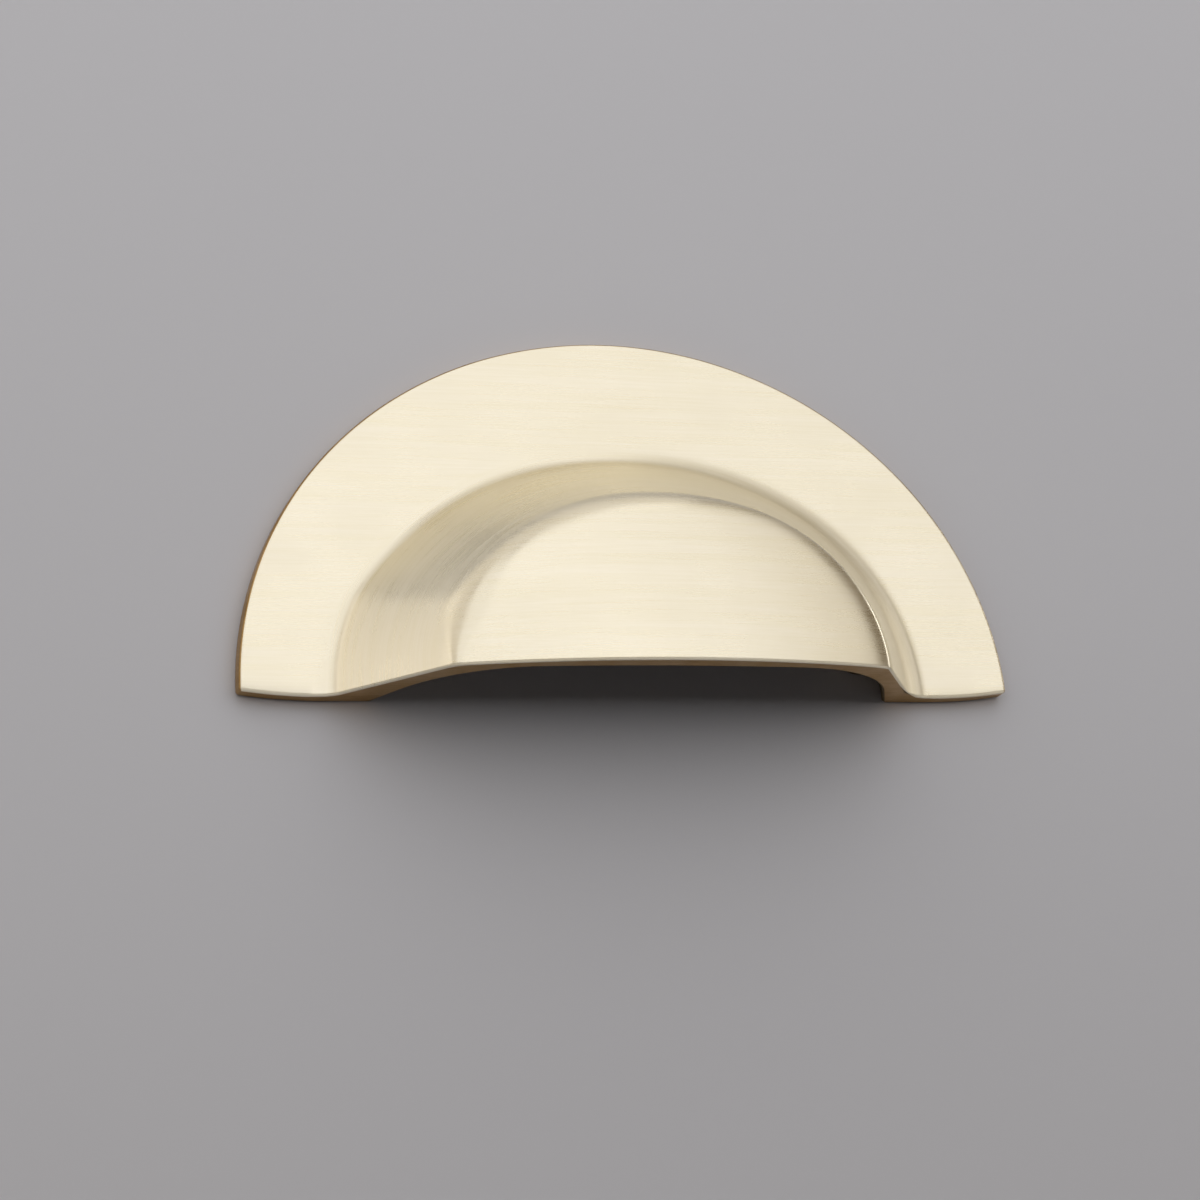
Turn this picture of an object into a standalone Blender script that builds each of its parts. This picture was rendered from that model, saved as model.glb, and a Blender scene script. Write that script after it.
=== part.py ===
"""Half-moon cup pull: one brass casting, a flat oval flange with a hollow cup drawn out of it.

Metres, +Z up. The back of the flange lies in the plane y = 0, where the pull is screwed on, and the cup
stands out towards -Y. The origin is on that back face, above the cup, on the upright centre line. All
of it is modelled from the middle of the straight bottom edge, under an empty hung below the origin.

Flange, cup, hollow, bosses and holes are all turned profiles. A profile is a list of (radius, depth)
points, where depth is the distance in front of the back plane. The flange and the cup are turned round
and then pressed oval in height. The lower half is cut away, which leaves the straight bottom edge, the
lip and the open mouth for the fingers.
"""

import math

import bmesh
import bpy
from mathutils import Vector

MM = 0.001

# Flange, the flat border round the cup
FLANGE_WIDTH = 104.0 * MM
FLANGE_HEIGHT = 48.0 * MM
FLANGE_THICKNESS = 2.2 * MM
FLANGE_EDGE_RADIUS = 0.4 * MM

# Outer skin of the cup: a domed crown, a straight drafted wall and a hollow fillet at its foot
CUP_PROJECTION = 19.5 * MM
CROWN_RADIUS = 130.0 * MM
CUP_FOOT_RADIUS = 38.5 * MM
WALL_DRAFT = math.radians(35.0)
SHOULDER_RADIUS = 3.5 * MM
FOOT_FILLET = 4.7 * MM

# Hollow of the cup: its wall is steeper than the skin, so the metal thickens towards the flange
CROWN_WALL = 3.1 * MM
BACK_WALL = 5.3 * MM
HOLLOW_STEEPER = math.radians(11.0)
HOLLOW_CROWN_RADIUS = 260.0 * MM
HOLLOW_CORNER_RADIUS = 18.0 * MM

# Height of the cup's oval over its half width, at the back plane and at the crown
OVAL_AT_BACK = 0.82
OVAL_AT_CROWN = 0.775

# Two bosses inside the cup, drilled from the back for M4 machine screws
BOSS_SPACING = 64.0 * MM
BOSS_HEIGHT = 8.0 * MM
BOSS_RADIUS = 4.3 * MM
BOSS_DRAFT = math.radians(1.5)
TAPPING_RADIUS = 1.65 * MM
TAPPING_SKIN = 2.0 * MM
DRILL_POINT = math.radians(59.0)

# Bottom cut: straight across the cup, eased up towards both ends of the flange, with a softened rim
END_EASE = 0.8 * MM
END_EASE_RUN = 11.0 * MM
CUT_EDGE_RADIUS = 0.35 * MM

# Height of the origin over the bottom edge
ORIGIN_HEIGHT = 38.0 * MM

# Fineness of the round forms
TURN_STEPS = 120
HOLE_STEPS = 24
CHORD_ERROR = 0.02 * MM
SHARP_ANGLE = math.radians(32.0)

# How far a cutter runs past what it cuts, and how the foot of the cup runs into the flange
OVERRUN = 6.0 * MM
BURIED = 0.4 * MM
FOOT_FEATHER = math.radians(8.0)

# What counts as a face of the bottom cut, by how straight down it looks, and as lying in a plane
CUT_FACE_DOWN = 0.95
FLAT = 0.001 * MM

BRASS_COLOUR = (0.66, 0.60, 0.44, 1.0)
BRASS_ROUGHNESS = 0.32


def clear_scene():
    for obj in list(bpy.data.objects):
        bpy.data.objects.remove(obj, do_unlink=True)


def make_collection(name):
    collection = bpy.data.collections.new(name)
    bpy.context.scene.collection.children.link(collection)
    return collection


def arc(centre, radius, start, end):
    """Points of an arc from one angle to another, as fine as CHORD_ERROR asks."""
    step = math.sqrt(8 * CHORD_ERROR / radius)
    count = max(2, math.ceil(abs(end - start) / step))
    angles = [start + (end - start) * i / count for i in range(count + 1)]
    return [(centre[0] + radius * math.cos(a), centre[1] + radius * math.sin(a)) for a in angles]


def domed_wall(top, crown_radius, corner_radius, wall_radius, wall_depth, draft):
    """A crown arc and the corner arc that runs on into a drafted wall.

    The crown's centre is on the axis. The wall passes through (wall_radius, wall_depth) and leans in by
    draft. The corner's centre lies a corner radius inside both: on the wall's inner parallel, and a
    crown radius less a corner radius away from the crown's centre.
    """
    crown_centre = (0.0, top - crown_radius)
    across = Vector((math.cos(draft), math.sin(draft)))
    along = Vector((-across.y, across.x))
    foot = across * (across.dot(Vector((wall_radius, wall_depth))) - corner_radius)
    from_crown = foot - Vector(crown_centre)
    half = from_crown.dot(along)
    reach = (crown_radius - corner_radius) ** 2 - from_crown.length_squared
    centre = foot + along * (math.sqrt(half * half + reach) - half)
    meeting = math.atan2(centre.y - crown_centre[1], centre.x)
    crown = arc(crown_centre, crown_radius, math.pi / 2, meeting)
    return crown + arc(tuple(centre), corner_radius, meeting, draft)[1:]


def cup_profile():
    """Crown, shoulder, wall, and the foot fillet that dips a little into the flange."""
    skin = domed_wall(
        CUP_PROJECTION, CROWN_RADIUS, SHOULDER_RADIUS, CUP_FOOT_RADIUS, FLANGE_THICKNESS, WALL_DRAFT
    )
    fillet_depth = FLANGE_THICKNESS + FOOT_FILLET
    wall_offset = CUP_FOOT_RADIUS * math.cos(WALL_DRAFT) + FLANGE_THICKNESS * math.sin(WALL_DRAFT)
    fillet_radius = (wall_offset + FOOT_FILLET - fillet_depth * math.sin(WALL_DRAFT)) / math.cos(WALL_DRAFT)
    last = 1.5 * math.pi - FOOT_FEATHER
    fillet = arc((fillet_radius, fillet_depth), FOOT_FILLET, math.pi + WALL_DRAFT, last)
    dip = fillet[-1][1] - FLANGE_THICKNESS + BURIED
    buried = (fillet[-1][0] + dip / math.tan(FOOT_FEATHER), FLANGE_THICKNESS - BURIED)
    return skin + fillet + [buried, (0.0, FLANGE_THICKNESS - BURIED)]


def hollow_profile():
    """The hollow, run out past the back plane."""
    draft = WALL_DRAFT - HOLLOW_STEEPER
    skin_at_back = CUP_FOOT_RADIUS + FLANGE_THICKNESS * math.tan(WALL_DRAFT)
    mouth = skin_at_back - BACK_WALL
    wall = domed_wall(
        CUP_PROJECTION - CROWN_WALL, HOLLOW_CROWN_RADIUS, HOLLOW_CORNER_RADIUS, mouth, 0.0, draft
    )
    return wall + [(mouth + OVERRUN * math.tan(draft), -OVERRUN), (0.0, -OVERRUN)]


def flange_profile():
    """A plate with its front rim rounded over."""
    radius = FLANGE_WIDTH / 2
    edge = FLANGE_EDGE_RADIUS
    rim = arc((radius - edge, FLANGE_THICKNESS - edge), edge, math.pi / 2, 0.0)
    return [(0.0, FLANGE_THICKNESS)] + rim + [(radius, 0.0), (0.0, 0.0)]


def boss_profile():
    """A drafted post that runs out past the back plane, wider towards the crown."""
    front = CUP_PROJECTION
    grow = math.tan(BOSS_DRAFT)
    return [
        (0.0, front),
        (BOSS_RADIUS + front * grow, front),
        (BOSS_RADIUS - 2 * OVERRUN * grow, -2 * OVERRUN),
        (0.0, -2 * OVERRUN),
    ]


def tapping_profile():
    """A blind drilled hole: it stops with TAPPING_SKIN of metal left at its outer side."""
    outer = math.hypot(BOSS_SPACING / 2 + TAPPING_RADIUS, BOSS_HEIGHT / OVAL_AT_BACK)
    skin_depth = FLANGE_THICKNESS + (CUP_FOOT_RADIUS - outer) / math.tan(WALL_DRAFT)
    depth = skin_depth - TAPPING_SKIN
    tip = depth + TAPPING_RADIUS / math.tan(DRILL_POINT)
    return [(0.0, tip), (TAPPING_RADIUS, depth), (TAPPING_RADIUS, -OVERRUN), (0.0, -OVERRUN)]


def plate_oval(depth):
    return FLANGE_HEIGHT / (FLANGE_WIDTH / 2)


def cup_oval(depth):
    return OVAL_AT_BACK + (OVAL_AT_CROWN - OVAL_AT_BACK) * depth / CUP_PROJECTION


def evaluated_mesh(obj):
    bpy.context.view_layer.update()
    graph = bpy.context.evaluated_depsgraph_get()
    return bpy.data.meshes.new_from_object(obj.evaluated_get(graph))


def turned(name, profile, steps, oval=None):
    """A closed solid turned about the depth axis, then pressed oval in height.

    The turning starts half a step off the level, so the straight cut runs through the middle of faces.
    """
    line = bpy.data.meshes.new(name)
    links = [(i, i + 1) for i in range(len(profile) - 1)]
    line.from_pydata([(radius, 0.0, depth) for radius, depth in profile], links, [])
    guide = bpy.data.objects.new(name + "_profile", line)
    bpy.context.scene.collection.objects.link(guide)
    screw = guide.modifiers.new("Turn", "SCREW")
    screw.axis = "Z"
    screw.angle = 2 * math.pi
    screw.steps = steps
    screw.render_steps = steps
    screw.use_merge_vertices = True
    screw.merge_threshold = 1e-6
    mesh = evaluated_mesh(guide)
    bpy.data.objects.remove(guide, do_unlink=True)
    mesh.name = name
    half_step = math.pi / steps
    for vertex in mesh.vertices:
        x, across, depth = vertex.co
        side = x * math.cos(half_step) - across * math.sin(half_step)
        up = x * math.sin(half_step) + across * math.cos(half_step)
        vertex.co = (side, -depth, up * (oval(depth) if oval else 1.0))
    return mesh


def add_object(name, mesh, collection, parent, place=(0.0, 0.0, 0.0)):
    obj = bpy.data.objects.new(name, mesh)
    collection.objects.link(obj)
    obj.parent = parent
    obj.location = place
    return obj


def add_helper(name, mesh, collection, parent, place=(0.0, 0.0, 0.0)):
    helper = add_object(name, mesh, collection, parent, place)
    helper.hide_render = True
    helper.display_type = "WIRE"
    return helper


def combine(target, tool, operation):
    boolean = target.modifiers.new(tool.name, "BOOLEAN")
    boolean.operation = operation
    boolean.object = tool
    boolean.solver = "EXACT"


def cut_outline():
    """Outline, in x and z, of all that lies below the bottom cut."""
    straight = FLANGE_WIDTH / 2 - END_EASE_RUN
    ease_radius = (END_EASE_RUN**2 + END_EASE**2) / (2 * END_EASE)
    side = FLANGE_WIDTH / 2 + OVERRUN
    swing = math.asin((side - straight) / ease_radius)
    right = arc((straight, ease_radius), ease_radius, -math.pi / 2, swing - math.pi / 2)
    left = [(-x, z) for x, z in reversed(right)]
    return left + right + [(side, -FLANGE_HEIGHT - OVERRUN), (-side, -FLANGE_HEIGHT - OVERRUN)]


def cut_mesh(name):
    """The outline drawn as a flat curve, given the depth of the cup and made a mesh."""
    outline = cut_outline()
    curve = bpy.data.curves.new(name, "CURVE")
    curve.dimensions = "2D"
    curve.fill_mode = "BOTH"
    curve.extrude = CUP_PROJECTION / 2 + OVERRUN
    spline = curve.splines.new("POLY")
    spline.points.add(len(outline) - 1)
    for point, (x, z) in zip(spline.points, outline):
        point.co = (x, z, 0.0, 1.0)
    spline.use_cyclic_u = True
    guide = bpy.data.objects.new(name + "_outline", curve)
    bpy.context.scene.collection.objects.link(guide)
    mesh = evaluated_mesh(guide)
    bpy.data.objects.remove(guide, do_unlink=True)
    work = bmesh.new()
    work.from_mesh(mesh)
    bmesh.ops.remove_doubles(work, verts=work.verts, dist=1e-6)
    for vertex in work.verts:
        x, z, across = vertex.co
        vertex.co = (x, -across - CUP_PROJECTION / 2, z)
    bmesh.ops.recalc_face_normals(work, faces=work.faces)
    work.to_mesh(mesh)
    work.free()
    return mesh


def apply_modifiers(obj):
    mesh = evaluated_mesh(obj)
    obj.modifiers.clear()
    obj.data = mesh


def is_cut_face(face):
    return face.normal.z < -CUT_FACE_DOWN and face.calc_center_median().z < END_EASE


def soften_cut(mesh):
    """Round the rim of the bottom cut, but for the stretch that lies in the back plane."""
    work = bmesh.new()
    work.from_mesh(mesh)
    bmesh.ops.dissolve_limit(work, angle_limit=1e-4, verts=work.verts, edges=work.edges)
    rim = []
    for edge in work.edges:
        cut_faces = [face for face in edge.link_faces if is_cut_face(face)]
        in_back = all(abs(vertex.co.y) < FLAT for vertex in edge.verts)
        if len(cut_faces) == 1 and not in_back:
            rim.append(edge)
    bmesh.ops.bevel(
        work,
        geom=rim,
        offset=CUT_EDGE_RADIUS,
        segments=2,
        profile=0.5,
        affect="EDGES",
        clamp_overlap=False,
    )
    work.to_mesh(mesh)
    work.free()


def brass():
    material = bpy.data.materials.new("satin_brass")
    material.use_nodes = True
    shader = material.node_tree.nodes["Principled BSDF"]
    shader.inputs["Base Color"].default_value = BRASS_COLOUR
    shader.inputs["Metallic"].default_value = 1.0
    shader.inputs["Roughness"].default_value = BRASS_ROUGHNESS
    return material


def make_pull(parts, cutters, datum):
    plate = turned("pull_body", flange_profile(), TURN_STEPS, plate_oval)
    body = add_object("pull_body", plate, parts, datum)
    skin = turned("cup_skin", cup_profile(), TURN_STEPS, cup_oval)
    combine(body, add_helper("cup_skin", skin, cutters, datum), "UNION")
    space = turned("hollow", hollow_profile(), TURN_STEPS, cup_oval)
    hollow = add_helper("hollow", space, cutters, datum)
    combine(body, hollow, "DIFFERENCE")
    post = turned("boss", boss_profile(), HOLE_STEPS)
    drill = turned("tapping_drill", tapping_profile(), HOLE_STEPS)
    for side, word in ((-1, "left"), (1, "right")):
        place = (side * BOSS_SPACING / 2, 0.0, BOSS_HEIGHT)
        combine(hollow, add_helper(word + "_boss", post, cutters, datum, place), "DIFFERENCE")
        combine(body, add_helper(word + "_drill", drill, cutters, datum, place), "DIFFERENCE")
    below = add_helper("below_the_cut", cut_mesh("below_the_cut"), cutters, datum)
    combine(body, below, "DIFFERENCE")
    apply_modifiers(body)
    soften_cut(body.data)
    body.data.shade_smooth()
    body.data.set_sharp_from_angle(angle=SHARP_ANGLE)
    body.data.materials.clear()
    body.data.materials.append(brass())


def main():
    clear_scene()
    parts = make_collection("cup_pull")
    cutters = make_collection("cutters")
    datum = bpy.data.objects.new("bottom_edge_middle", None)
    parts.objects.link(datum)
    datum.location.z = -ORIGIN_HEIGHT
    make_pull(parts, cutters, datum)


main()
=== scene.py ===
# %% [markdown]
# A half-moon cup pull in satin brass. The real one is a single casting: a flat oval flange with a hollow
# cup drawn out of it for the fingers. It is linished with fine belts and left without lacquer. The packed
# CAD model gives the frame and the sizes. This lesson rebuilds the skin finely enough for soft metal
# reflections, which show every facet and every wave that a rougher surface would hide.

from collections import namedtuple

import bmesh
import bpy
import numpy as np
from mathutils import Matrix


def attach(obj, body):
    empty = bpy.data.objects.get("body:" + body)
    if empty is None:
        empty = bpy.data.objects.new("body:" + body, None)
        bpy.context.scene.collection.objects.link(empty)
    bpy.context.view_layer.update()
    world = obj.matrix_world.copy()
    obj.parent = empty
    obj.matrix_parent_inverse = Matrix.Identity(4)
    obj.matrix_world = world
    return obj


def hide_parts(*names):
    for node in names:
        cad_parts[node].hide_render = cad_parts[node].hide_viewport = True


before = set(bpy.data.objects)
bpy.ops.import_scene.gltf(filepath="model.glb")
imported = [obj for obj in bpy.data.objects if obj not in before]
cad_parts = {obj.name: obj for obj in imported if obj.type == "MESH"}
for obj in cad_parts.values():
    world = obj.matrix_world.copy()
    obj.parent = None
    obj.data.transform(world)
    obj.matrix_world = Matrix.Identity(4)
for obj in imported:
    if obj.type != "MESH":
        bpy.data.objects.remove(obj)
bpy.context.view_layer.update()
scene = bpy.context.scene
scene.view_settings.view_transform = "Standard"

# %% [markdown]
# Sizes are in millimetres here, because a maker thinks in them, and the mesh is scaled to metres once, at
# the very end. A point of a profile is its distance from the cup's axis and its depth in front of the back
# plane. The cup is turned and then pressed oval, and its oval is a little flatter at the crown.

# %% Sizes
MM = 0.001
HEIGHT_OF_CUT = -38.0

FLANGE_WIDTH = 104.0
FLANGE_HEIGHT = 48.0
FLANGE_THICKNESS = 2.2
FLANGE_EDGE_RADIUS = 0.4
BACK_BREAK = 0.12
# The edge lies this far inside the CAD's, whose facets cut the oval's corners.
EDGE_INSIDE = 0.03

CUP_PROJECTION = 19.5
CROWN_RADIUS = 130.0
CUP_FOOT_RADIUS = 38.5
WALL_DRAFT = np.radians(35.0)

CROWN_WALL = 3.1
BACK_WALL = 5.3
HOLLOW_DRAFT = np.radians(24.0)
HOLLOW_CROWN_RADIUS = 260.0
HOLLOW_CORNER_RADIUS = 18.0
MOUTH_BREAK = 0.25

OVAL_AT_BACK = 0.82
OVAL_AT_CROWN = 0.775
MIDDLE_OVAL = 0.8
PLATE_OVAL = FLANGE_HEIGHT / (FLANGE_WIDTH / 2)

END_EASE = 0.8
END_EASE_RUN = 11.0
CUT_EDGE_RADIUS = 0.35


def cup_oval(depth):
    """Height of the oval over its half width: it falls evenly from the back plane to the crown."""
    return OVAL_AT_BACK + (OVAL_AT_CROWN - OVAL_AT_BACK) * depth / CUP_PROJECTION


def rise(x):
    """How far the bottom cut has eased up at x: nothing across the cup, then a circle's arc to the end."""
    run = np.clip(np.abs(x) - (FLANGE_WIDTH / 2 - END_EASE_RUN), 0.0, None)
    radius = (END_EASE_RUN**2 + END_EASE**2) / (2 * END_EASE)
    return radius - np.sqrt(radius**2 - run**2)


print("cut rises at the ends by", round(float(rise(FLANGE_WIDTH / 2)), 3), "mm")

# %% [markdown]
# The skin's section runs from the crown over the shoulder, down the leaning wall, through the hollow
# fillet and out over the flange to its back corner. A lathe would turn just this line. Arcs get a point
# every few degrees, and flats get close points beside each bend, so that the smooth shading of the bend
# doesn't spill over the flat.
#
# Nobody linishes a cup quite evenly. This one is fuller at the left than at the right, where a crisp
# shoulder has a narrow tilted band beside it, and its wall leans from 33 to 40 degrees. So the section is
# worked out once for each of six sides, all with the same number of points.


# %% Section of the skin
def arc(centre, radius, start, end, steps):
    """Points of a circle's arc: centre plus radius times (cos, sin) of evenly spaced angles."""
    angle = np.linspace(start, end, steps + 1)
    return np.column_stack([centre[0] + radius * np.cos(angle), centre[1] + radius * np.sin(angle)])


def between(start, end, shares):
    """Points of a straight run: start plus a share of the way to end, for each share."""
    start, end = np.array(start, float), np.array(end, float)
    return start + (end - start) * np.array(shares)[:, None]


def eased_shares(steps, edge):
    """Shares from 0 to 1 that lie close together near both ends, by a sine of the even share."""
    even = np.linspace(0.0, 1.0, steps + 1)
    return even - edge * np.sin(2 * np.pi * even) / (2 * np.pi)


def corner_of(top, crown, corner, wall_radius, draft):
    """Centre of the corner arc between crown and wall, and the angle at which the crown meets it.

    The wall passes through (wall_radius, 0) and leans in by draft. The corner's centre lies a corner
    radius inside the wall, and a crown radius less a corner radius away from the crown's centre.
    """
    across = np.array([np.cos(draft), np.sin(draft)])
    along = np.array([-across[1], across[0]])
    foot = across * (across[0] * wall_radius - corner)
    gap = foot - np.array([0.0, top - crown])
    half = gap @ along
    centre = foot + along * (np.sqrt(half**2 + (crown - corner) ** 2 - gap @ gap) - half)
    return centre, np.arctan2(centre[1] - top + crown, centre[0])


def bend_to_wall(start, tilt, wall, ease, power, outward, steps):
    """Curve from start that turns from tilt to the wall's tilt and ends on the wall.

    Its radius is a scale times 1 + ease * (1 - share) ** power, with share going from 0 to 1 along the
    turn, so it starts wide and tightens. Its direction is (cos, -sin) of the tilt times outward, which is
    1 or -1. The wall is a point and a draft, and the scale makes the curve's end lie on its line:
    square . (start + scale * run) = square . point, where square is the direction square to the wall.
    """
    point, draft = wall
    tilts = np.linspace(tilt, np.pi / 2 - draft, steps + 1)
    middle = 0.5 * (tilts[1:] + tilts[:-1])
    share = (middle - tilts[0]) / (tilts[-1] - tilts[0])
    length = (1 + ease * (1 - share) ** power) * np.diff(tilts)
    step = np.column_stack([np.cos(middle), -np.sin(middle)]) * (length * outward)[:, None]
    run = np.vstack([[0.0, 0.0], np.cumsum(step, axis=0)])
    square = np.array([np.cos(draft), np.sin(draft)])
    scale = square @ (np.array(point) - start) / (square @ run[-1])
    return start + scale * run


def crown_depth(radius, top, crown):
    """Depth of a domed crown at a distance from the axis: a circle's arc with its top in the middle."""
    return top - crown + np.sqrt(crown**2 - radius**2)


def ovalled(points, oval):
    """Turns (radius, depth) points into stations: half width, height and depth of an oval ring."""
    radius, depth = points.T
    return np.column_stack([radius, radius * oval(depth), depth])


SKIN_AT_BACK = CUP_FOOT_RADIUS + FLANGE_THICKNESS * np.tan(WALL_DRAFT)
CROWN_EDGE = 3.0
CROWN_STEPS, SHOULDER_STEPS, WALL_STEPS, FILLET_STEPS, FLAT_STEPS, RIM_STEPS = 8, 24, 16, 30, 20, 6
# A side: its angle round the cup (0 is the right end of the cut), the radius where its shoulder starts and
# the shoulder's ease and power, the radius where wall and flange would meet, the wall's draft in degrees,
# and the fillet's reach over the flange, ease and power.
Side = namedtuple("Side", "angle shoulder turn foot draft reach roll")
RIGHT = Side(0, 24.7, (50, 8), 37.9, 33.2, 2.6, (-0.5, 1))
UPPER_RIGHT = Side(55, 26.4, (20, 6), 39.3, 35.4, 3.0, (2, 2))
TOP = Side(95, 25.0, (1.2, 2), 39.1, 37.0, 3.4, (8, 3))
UPPER_LEFT = Side(138, 25.8, (0, 1), 39.3, 37.9, 2.8, (6, 3))
LOWER_LEFT = Side(160, 25.2, (0, 1), 40.4, 40.2, 2.6, (5, 3))
LEFT = Side(180, 27.8, (0, 1), 40.5, 40.0, 2.4, (5, 3))
SIDES = (RIGHT, UPPER_RIGHT, TOP, UPPER_LEFT, LOWER_LEFT, LEFT)
skin_patch_radius = min(side.shoulder for side in SIDES) - CROWN_EDGE


def skin_section(side):
    """Stations of the skin from the crown to the back corner, for one side's shape."""
    rest = np.linspace(skin_patch_radius, side.shoulder, CROWN_STEPS + 1)
    crown = np.column_stack([rest, crown_depth(rest, CUP_PROJECTION, CROWN_RADIUS)])
    tilt = np.arcsin(side.shoulder / CROWN_RADIUS)
    wall_line = (side.foot, FLANGE_THICKNESS), np.radians(side.draft)
    shoulder = bend_to_wall(crown[-1], tilt, wall_line, *side.turn, 1.0, SHOULDER_STEPS)
    out = np.array([side.foot + side.reach, FLANGE_THICKNESS])
    fillet = bend_to_wall(out, 0.0, wall_line, *side.roll, -1.0, FILLET_STEPS)[::-1]
    wall = between(shoulder[-1], fillet[0], eased_shares(WALL_STEPS, 0.6))
    cup = ovalled(np.vstack([crown, shoulder[1:], wall[1:], fillet[1:]]), cup_oval)
    flat = between(cup[-1], rim_stations[0], eased_shares(FLAT_STEPS, 0.9))
    return np.vstack([cup, flat[1:-1], rim_stations])


edge = FLANGE_EDGE_RADIUS
half_width = FLANGE_WIDTH / 2 - EDGE_INSIDE
rim = arc((half_width - edge, FLANGE_THICKNESS - edge), edge, np.pi / 2, 0.0, RIM_STEPS)
rim_wall = between((half_width, FLANGE_THICKNESS - edge), (half_width, BACK_BREAK), eased_shares(5, 0.8))
back_edge = arc((half_width - BACK_BREAK, BACK_BREAK), BACK_BREAK, 0.0, -np.pi / 2, 3)
rim_stations = ovalled(np.vstack([rim, rim_wall[1:], back_edge[1:]]), lambda depth: PLATE_OVAL)
sections = [skin_section(side) for side in SIDES]
skin_stations = sections[SIDES.index(TOP)]
flat_start = len(skin_stations) - len(rim_stations) - FLAT_STEPS
# The satin ends and the ground finish starts a third of the way round the rim's arc.
edge_start = len(skin_stations) - len(rim_stations) + RIM_STEPS // 3
print("skin:", len(sections), "sections of", len(skin_stations), "points")

# %% [markdown]
# The hollow has its own, steeper wall and a generous corner, so the metal is thin at the lip and thick
# where the cup meets the flange, as a founder pours it. Its section ends at the mouth in the back plane.

# %% Section of the hollow
mouth = SKIN_AT_BACK - BACK_WALL
hollow_top = CUP_PROJECTION - CROWN_WALL
centre, meeting = corner_of(hollow_top, HOLLOW_CROWN_RADIUS, HOLLOW_CORNER_RADIUS, mouth, HOLLOW_DRAFT)
meeting_radius = HOLLOW_CROWN_RADIUS * np.cos(meeting)
hollow_patch_radius = meeting_radius - CROWN_EDGE
rest = np.linspace(hollow_patch_radius, meeting_radius, 4)
crown = np.column_stack([rest, crown_depth(rest, hollow_top, HOLLOW_CROWN_RADIUS)])
corner = arc(centre, HOLLOW_CORNER_RADIUS, meeting, HOLLOW_DRAFT, 18)
turn = np.pi / 2 - HOLLOW_DRAFT
reach = MOUTH_BREAK * np.tan(turn / 2)
break_centre = (mouth + reach, MOUTH_BREAK)
mouth_break = arc(break_centre, MOUTH_BREAK, np.pi + HOLLOW_DRAFT, 1.5 * np.pi, 3)
wall = between(corner[-1], mouth_break[0], eased_shares(8, 0.8))
hollow_stations = ovalled(np.vstack([crown, corner[1:], wall[1:], mouth_break[1:]]), cup_oval)

back_steps = len(skin_stations) - len(hollow_stations)
facing = np.minimum(skin_stations[-back_steps - 1 :, 0], skin_stations[-1, 0])
facing_share = (facing - facing[0]) / (facing[-1] - facing[0])
back_share = 0.93 * facing_share + 0.07 * np.linspace(0.0, 1.0, back_steps + 1)
print("hollow section:", len(hollow_stations), "points; mouth", round(float(mouth), 2), "mm out")

# %% [markdown]
# A ring of the skin is a half oval, and the straight cut takes its two ends. Rows close to the cut follow
# the cut itself, with the rim rounded over as the linishing belt leaves it; the rest fan out evenly. A
# plain polar grid would meet in a point in the middle of the lip, where everyone looks, so the crown is a
# patch of its own, stretched over four sides as a sail is. Each side's section gives a whole ring, and the
# skin goes over from one of these rings to the next as it runs round the cup.

# %% Rings
FAN_STEPS = 260
TOP_STEPS = 110
SIDE_STEPS = (FAN_STEPS - TOP_STEPS) // 2

bend = np.linspace(np.pi / 2, 0.0, 6)
ROW_HEIGHT = np.concatenate([CUT_EDGE_RADIUS * (1 - np.sin(bend)), [0.42, 0.6, 0.95, 1.5, 2.2]])
ROW_INSET = np.concatenate([CUT_EDGE_RADIUS * (1 - np.cos(bend)), np.zeros(5)])


def smooth_step(value, low, high):
    """0 below low, 1 above high, and 3t^2 - 2t^3 in between."""
    share = np.clip((value - low) / (high - low), 0.0, 1.0)
    return share * share * (3 - 2 * share)


def section_normal(stations):
    """Direction square to the section at each station, from the run between its neighbours.

    The last station lies in the back plane and must stay in it, so its direction is plainly outwards.
    """
    run = np.gradient(stations[:, [0, 2]], axis=0)
    run /= np.linalg.norm(run, axis=1)[:, None]
    normal = np.column_stack([-run[:, 1], run[:, 0]])
    normal[-1] = (1.0, 0.0)
    return normal


def fan_angles(stations):
    """Angles of the fan at each station: even steps between the last rows beside the cut."""
    a, b, _ = stations.T
    x = a
    for _ in range(4):
        height = rise(x) + ROW_HEIGHT[-1]
        x = a * np.sqrt(1 - (height / b) ** 2)
    start = np.arcsin(height / b)
    share = np.linspace(0.0, 1.0, FAN_STEPS + 1)[1:-1, None]
    return start + (np.pi - 2 * start) * share


def cut_rows(stations, normal):
    """Rows beside the cut, on the right-hand side: (width, depth, height) of each station.

    The height is the cut's rise plus the row's own, and the width follows from the oval. Each point then
    moves into the metal by the row's inset, which rounds the rim over.
    """
    a, b, depth = stations.T
    x = np.repeat(a[None, :], len(ROW_HEIGHT), axis=0)
    own = ROW_HEIGHT[:, None]
    for _ in range(4):
        height = rise(x) + own
        x = a * np.sqrt(1 - (height / b) ** 2)
    x = x - ROW_INSET[:, None] * normal[:, 0]
    deep = depth - ROW_INSET[:, None] * normal[:, 1]
    return np.stack([x, deep, rise(x) + own], axis=-1)


def ring_grid(stations, normal):
    """Grid of the skin, rows by stations: cut rows, fan, cut rows mirrored. Point = (x, depth, z)."""
    right = cut_rows(stations, normal)
    angle = fan_angles(stations)
    a, b, depth = stations.T
    fan = np.stack([a * np.cos(angle), depth + 0 * angle, b * np.sin(angle)], axis=-1)
    left = right[::-1] * np.array([-1.0, 1.0, 1.0])
    return np.concatenate([right, fan, left])


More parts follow.
